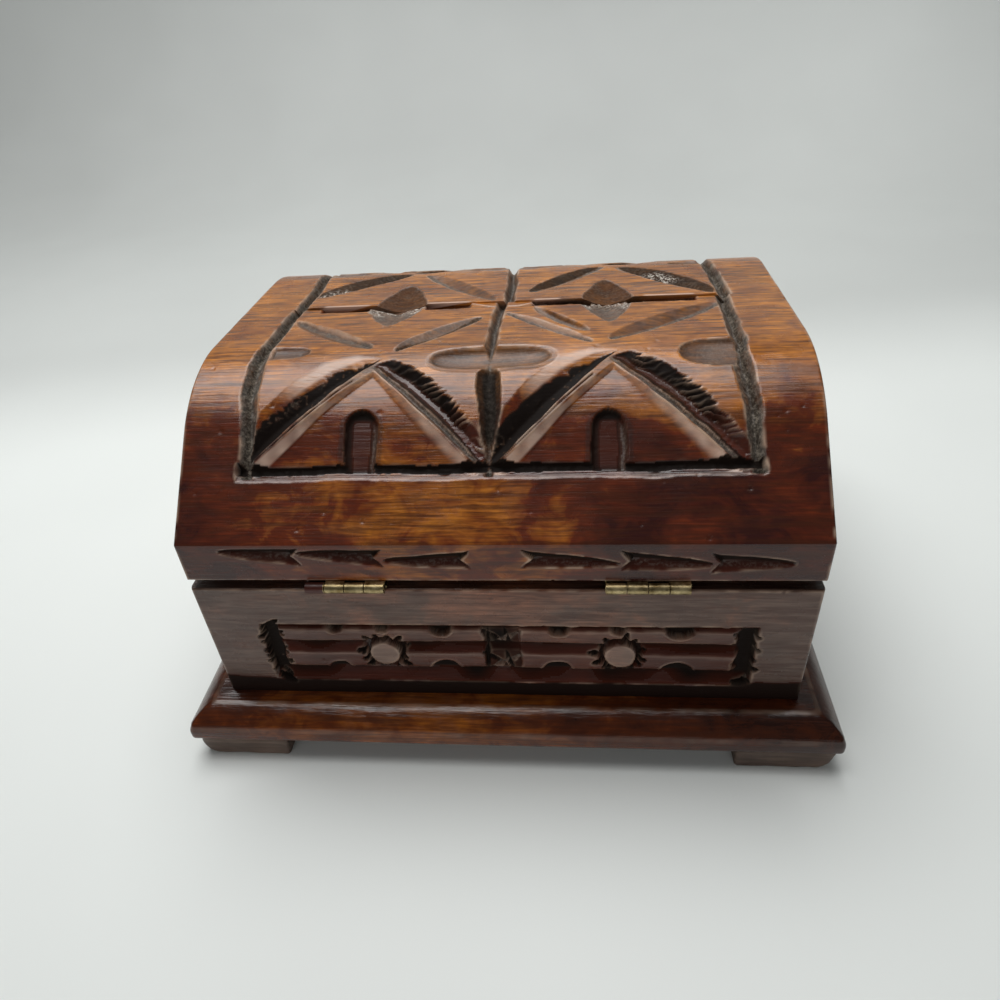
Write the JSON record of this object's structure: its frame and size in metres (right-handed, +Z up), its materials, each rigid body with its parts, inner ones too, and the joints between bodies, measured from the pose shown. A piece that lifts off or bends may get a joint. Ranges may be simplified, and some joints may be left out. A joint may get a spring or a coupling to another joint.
{
  "type": "keepsake box",
  "caption": "Wooden box for papers and keepsakes with a carved, domed lid on brass hinges, carved side panels, a bevelled plinth and square feet.",
  "frame": {"origin": "on the surface that the box stands on, under the middle of the plinth", "axes": "+Z up, +X along the hinge line, +Y from the hinged back towards the side that opens"},
  "size_m": [0.2248, 0.2138, 0.1259],
  "materials": {
    "lid_wood": "carved hardwood, amber to red-brown, gloss varnish",
    "lid_end_wood": "red-brown hardwood, gloss varnish",
    "body_wood": "carved grey-brown hardwood, gloss varnish",
    "plinth_wood": "amber-brown hardwood, gloss varnish",
    "foot_wood": "grey-brown hardwood, matt",
    "hinge_brass": "dull aged brass",
    "screw_brass": "dull aged brass"
  },
  "bodies": {
    "base": {"plinth": "plinth_wood", "foot_back_left": "foot_wood", "foot_back_right": "foot_wood", "foot_front_left": "foot_wood", "foot_front_right": "foot_wood", "body_back_board": "body_wood", "body_front_board": "body_wood", "body_left_end": "body_wood", "body_right_end": "body_wood", "hinge_left_body_leaf": "hinge_brass", "hinge_left_pin": "hinge_brass", "hinge_right_body_leaf": "hinge_brass", "hinge_right_pin": "hinge_brass", "body_hinge_screws": "screw_brass"},
    "lid": {"lid_back_half": "lid_wood", "lid_front_half": "lid_wood", "lid_left_end": "lid_end_wood", "lid_right_end": "lid_end_wood", "hinge_left_lid_leaf": "hinge_brass", "hinge_right_lid_leaf": "hinge_brass", "lid_hinge_screws": "screw_brass"}
  },
  "joints": [
    {"name": "lid_hinge", "type": "hinge", "parent": "base", "child": "lid", "pos_m": [0, -0.0947, 0.07155], "axis": [1, 0, 0], "range_deg": [0, 185]}
  ]
}
